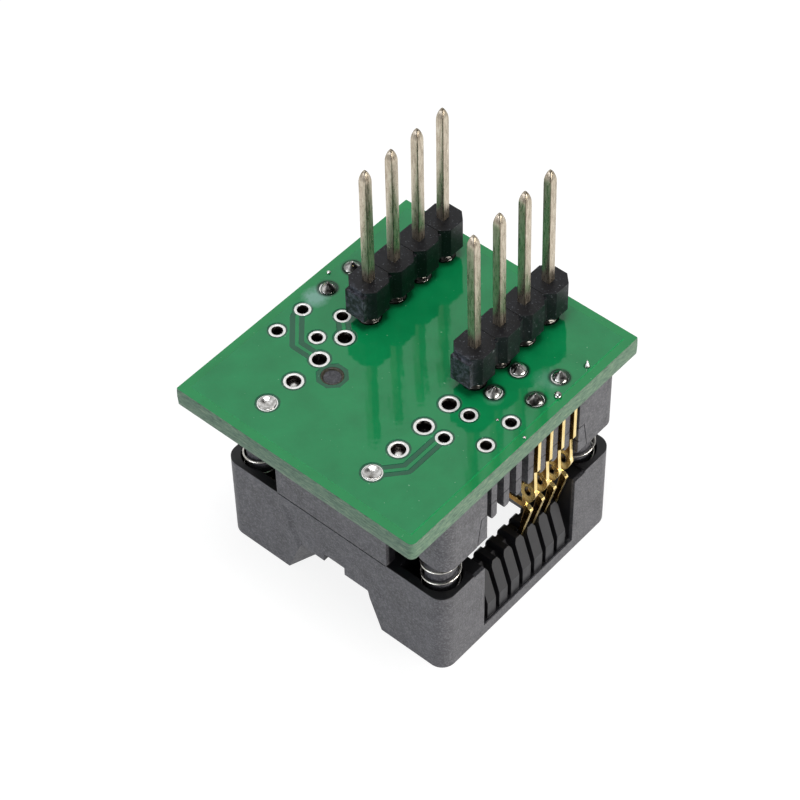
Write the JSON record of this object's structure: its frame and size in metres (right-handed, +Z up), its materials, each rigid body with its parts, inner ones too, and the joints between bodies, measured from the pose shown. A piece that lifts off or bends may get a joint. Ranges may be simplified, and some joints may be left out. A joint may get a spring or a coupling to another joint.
{
  "type": "ic socket adapter",
  "caption": "Adapter board with a sprung open-top chip socket on one face and square header pins on the other.",
  "frame": {"origin": "under the middle of the board, at the foot of the cover that it stands on", "axes": "+Z up the header pins, +X across the two header rows, +Y along them, away from the free holes"},
  "size_m": [0.0206, 0.0232, 0.0312],
  "materials": {
    "board_green": "glossy solder mask",
    "black_plastic": "moulded, fine texture",
    "strip_plastic": "moulded, smooth",
    "tinned_pin": "tin plate",
    "gold_contact": "gold plate",
    "spring_steel": "bright wire",
    "solder": "bright solder"
  },
  "bodies": {
    "base": {"base_housing": "black_plastic", "board": "board_green", "comb_insert": "black_plastic", "contact_solder": "solder", "contact_stem_left_1": "gold_contact", "contact_stem_left_2": "gold_contact", "contact_stem_left_3": "gold_contact", "contact_stem_left_4": "gold_contact", "contact_stem_right_1": "gold_contact", "contact_stem_right_2": "gold_contact", "contact_stem_right_3": "gold_contact", "contact_stem_right_4": "gold_contact", "header_pin_left_1": "tinned_pin", "header_pin_left_2": "tinned_pin", "header_pin_left_3": "tinned_pin", "header_pin_left_4": "tinned_pin", "header_pin_right_1": "tinned_pin", "header_pin_right_2": "tinned_pin", "header_pin_right_3": "tinned_pin", "header_pin_right_4": "tinned_pin", "header_solder": "solder", "header_strip_left": "strip_plastic", "header_strip_right": "strip_plastic", "nest": "black_plastic", "spring_back_left": "spring_steel", "spring_back_right": "spring_steel", "spring_front_left": "spring_steel", "spring_front_right": "spring_steel"},
    "cover": {"cover": "black_plastic"},
    "arms_left": {"contact_arm_left_1": "gold_contact", "contact_arm_left_2": "gold_contact", "contact_arm_left_3": "gold_contact", "contact_arm_left_4": "gold_contact"},
    "arms_right": {"contact_arm_right_1": "gold_contact", "contact_arm_right_2": "gold_contact", "contact_arm_right_3": "gold_contact", "contact_arm_right_4": "gold_contact"}
  },
  "joints": [
    {"name": "cover_press", "type": "slide", "parent": "base", "child": "cover", "axis": [0, 0, 1], "range_m": [0, 0.0028], "stiffness_N_per_m": 1500, "springref_m": -0.002, "deforming": ["spring_back_left", "spring_back_right", "spring_front_left", "spring_front_right"]},
    {"name": "arms_right_turn", "type": "hinge", "parent": "base", "child": "arms_right", "pos_m": [0.00918, 0.00348, 0.01005], "axis": [0, -1, 0], "range_deg": [0, 10.1]},
    {"name": "arms_left_turn", "type": "hinge", "parent": "base", "child": "arms_left", "pos_m": [-0.00934, 0.00348, 0.01005], "axis": [0, 1, 0], "range_deg": [0, 10.1]}
  ],
  "couplings": [
    {"joint": "arms_right_turn", "follows": "cover_press", "rad_per_m": 62.3},
    {"joint": "arms_left_turn", "follows": "cover_press", "rad_per_m": 62.3}
  ]
}
